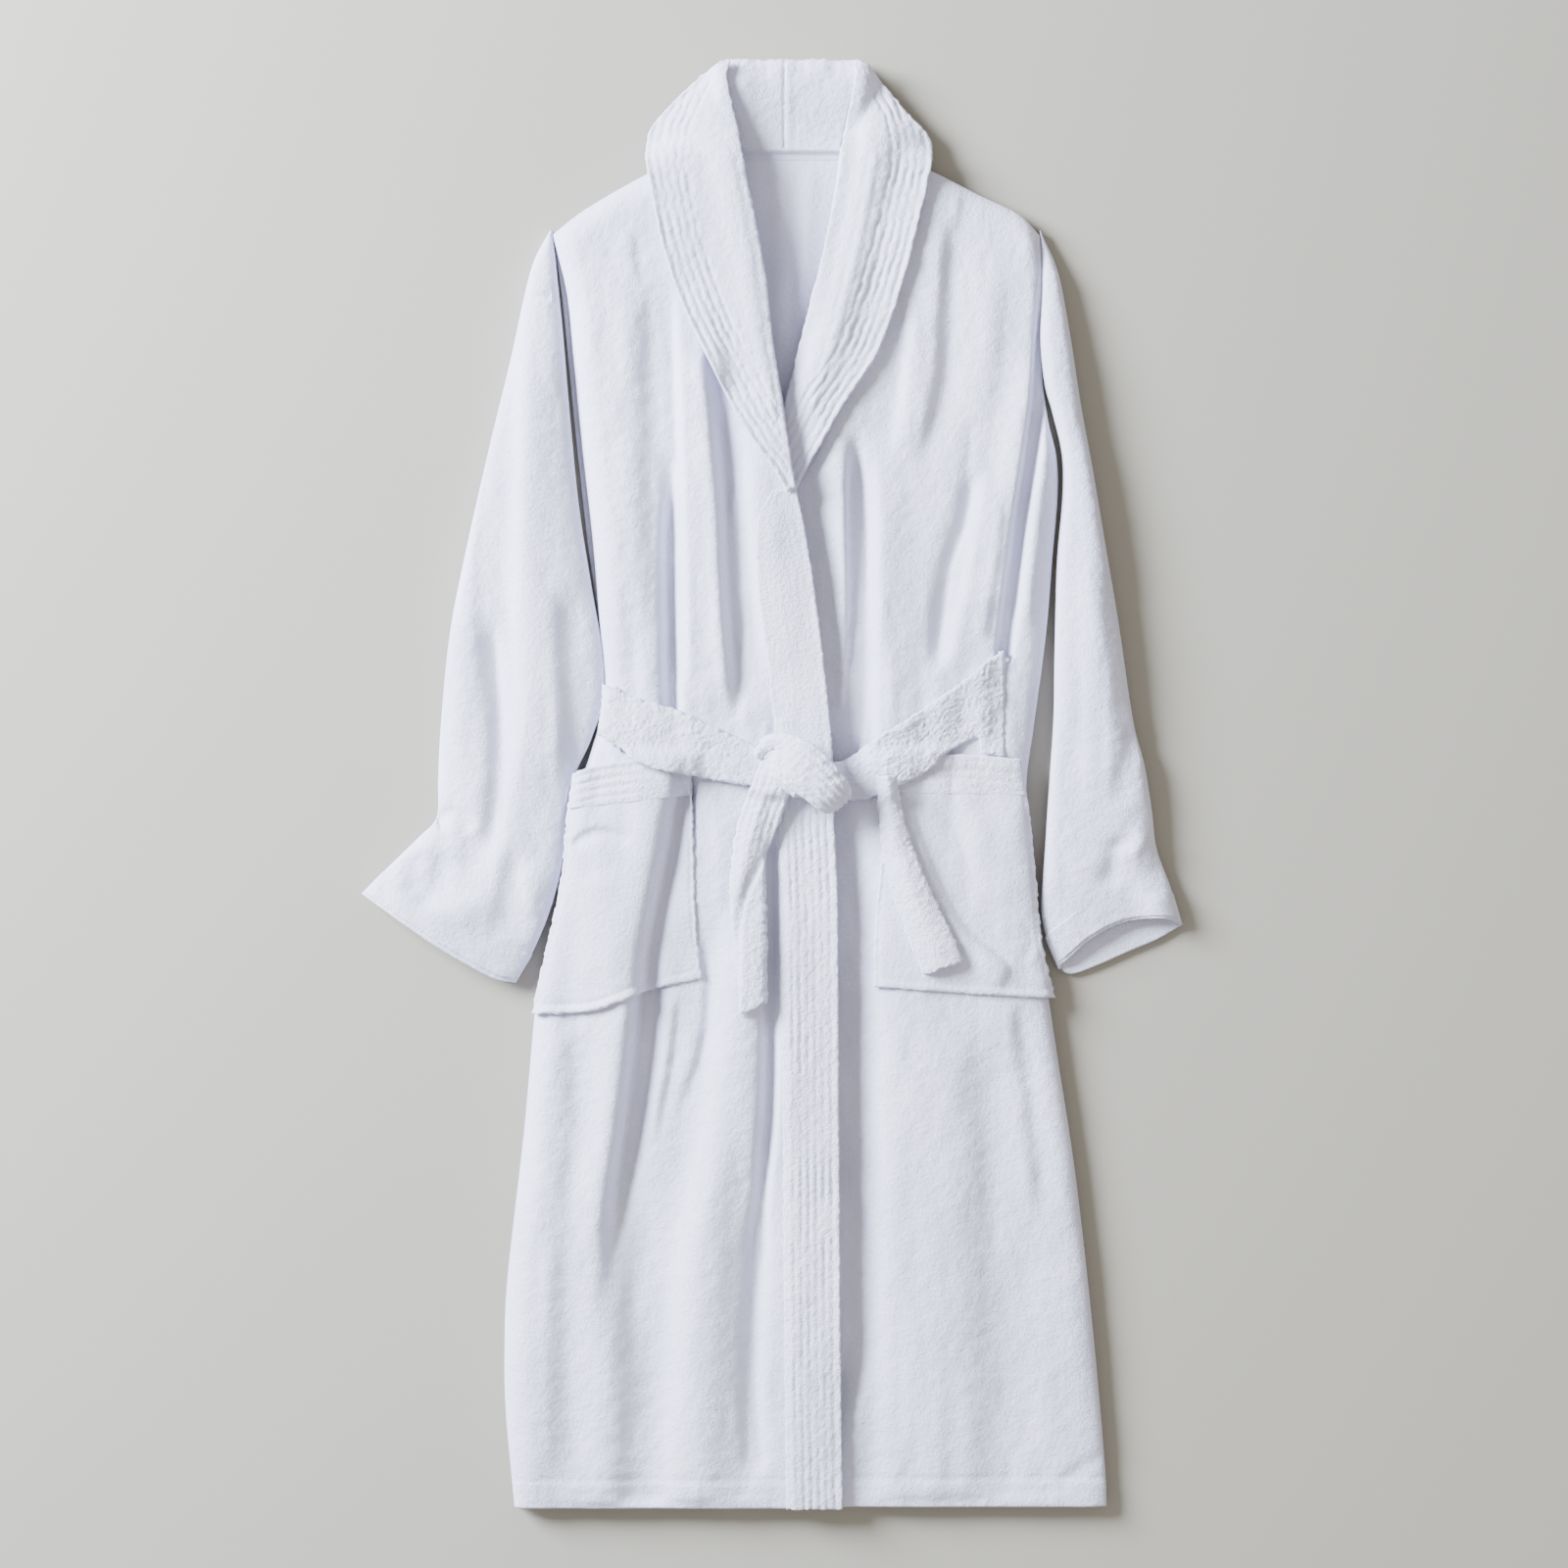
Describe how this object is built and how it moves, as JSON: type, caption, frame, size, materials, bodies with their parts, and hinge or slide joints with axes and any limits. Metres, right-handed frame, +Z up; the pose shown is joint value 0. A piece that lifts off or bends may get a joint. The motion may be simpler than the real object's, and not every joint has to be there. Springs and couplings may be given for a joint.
{
  "type": "bathrobe",
  "caption": "Long white towelling bathrobe with a shawl collar, patch pockets and a tied belt, lying flat on its back.",
  "frame": {"origin": "on the surface the robe lies on, under the middle of its outline", "axes": "+Z up out of the front of the robe, +Y along the robe towards the collar, +X towards the wearer's left"},
  "size_m": [0.738, 1.298, 0.066],
  "materials": {
    "velour_white": "cut-pile cotton velour, matt with a soft sheen",
    "terry_white": "looped cotton terry, matt",
    "tape_white": "plain woven cotton tape, matt"
  },
  "bodies": {
    "robe_body": {"back_panel": "velour_white", "right_front_panel": "velour_white", "left_front_panel": "velour_white", "right_front_band": "velour_white", "left_front_band": "velour_white", "back_hem": "velour_white", "right_front_hem": "velour_white", "left_front_hem": "velour_white", "right_under_collar": "velour_white", "right_upper_collar": "velour_white", "left_under_collar": "velour_white", "left_upper_collar": "velour_white", "collar_stand": "velour_white", "neck_tape": "tape_white", "hanger_loop": "tape_white", "right_pocket": "velour_white", "left_pocket": "velour_white", "right_pocket_band": "velour_white", "left_pocket_band": "velour_white", "belt_back": "terry_white", "belt_right_front": "terry_white", "belt_left_front": "terry_white", "belt_knot": "terry_white", "right_belt_loop": "tape_white", "left_belt_loop": "tape_white"},
    "right_sleeve": {"right_sleeve": "velour_white", "right_cuff_hem": "terry_white"},
    "left_sleeve": {"left_sleeve": "velour_white", "left_cuff_hem": "terry_white"},
    "right_belt_tail": {"belt_right_tail": "terry_white"},
    "left_belt_tail": {"belt_left_tail": "terry_white"}
  },
  "joints": [
    {"name": "right_sleeve_fold", "type": "hinge", "parent": "robe_body", "child": "right_sleeve", "pos_m": [-0.151, 0.092, 0.0485], "axis": [-0.1183, 0.993, 0], "range_deg": [0, 120]},
    {"name": "left_sleeve_fold", "type": "hinge", "parent": "robe_body", "child": "left_sleeve", "pos_m": [0.238, 0.092, 0.0485], "axis": [0, -1, 0], "range_deg": [0, 150]},
    {"name": "right_belt_tail_lift", "type": "hinge", "parent": "robe_body", "child": "right_belt_tail", "pos_m": [0, -0.0225, 0.0418], "axis": [-1, 0, 0], "range_deg": [0, 85]},
    {"name": "left_belt_tail_lift", "type": "hinge", "parent": "robe_body", "child": "left_belt_tail", "pos_m": [0.1, -0.0155, 0.0386], "axis": [-1, 0, 0], "range_deg": [0, 85]}
  ]
}
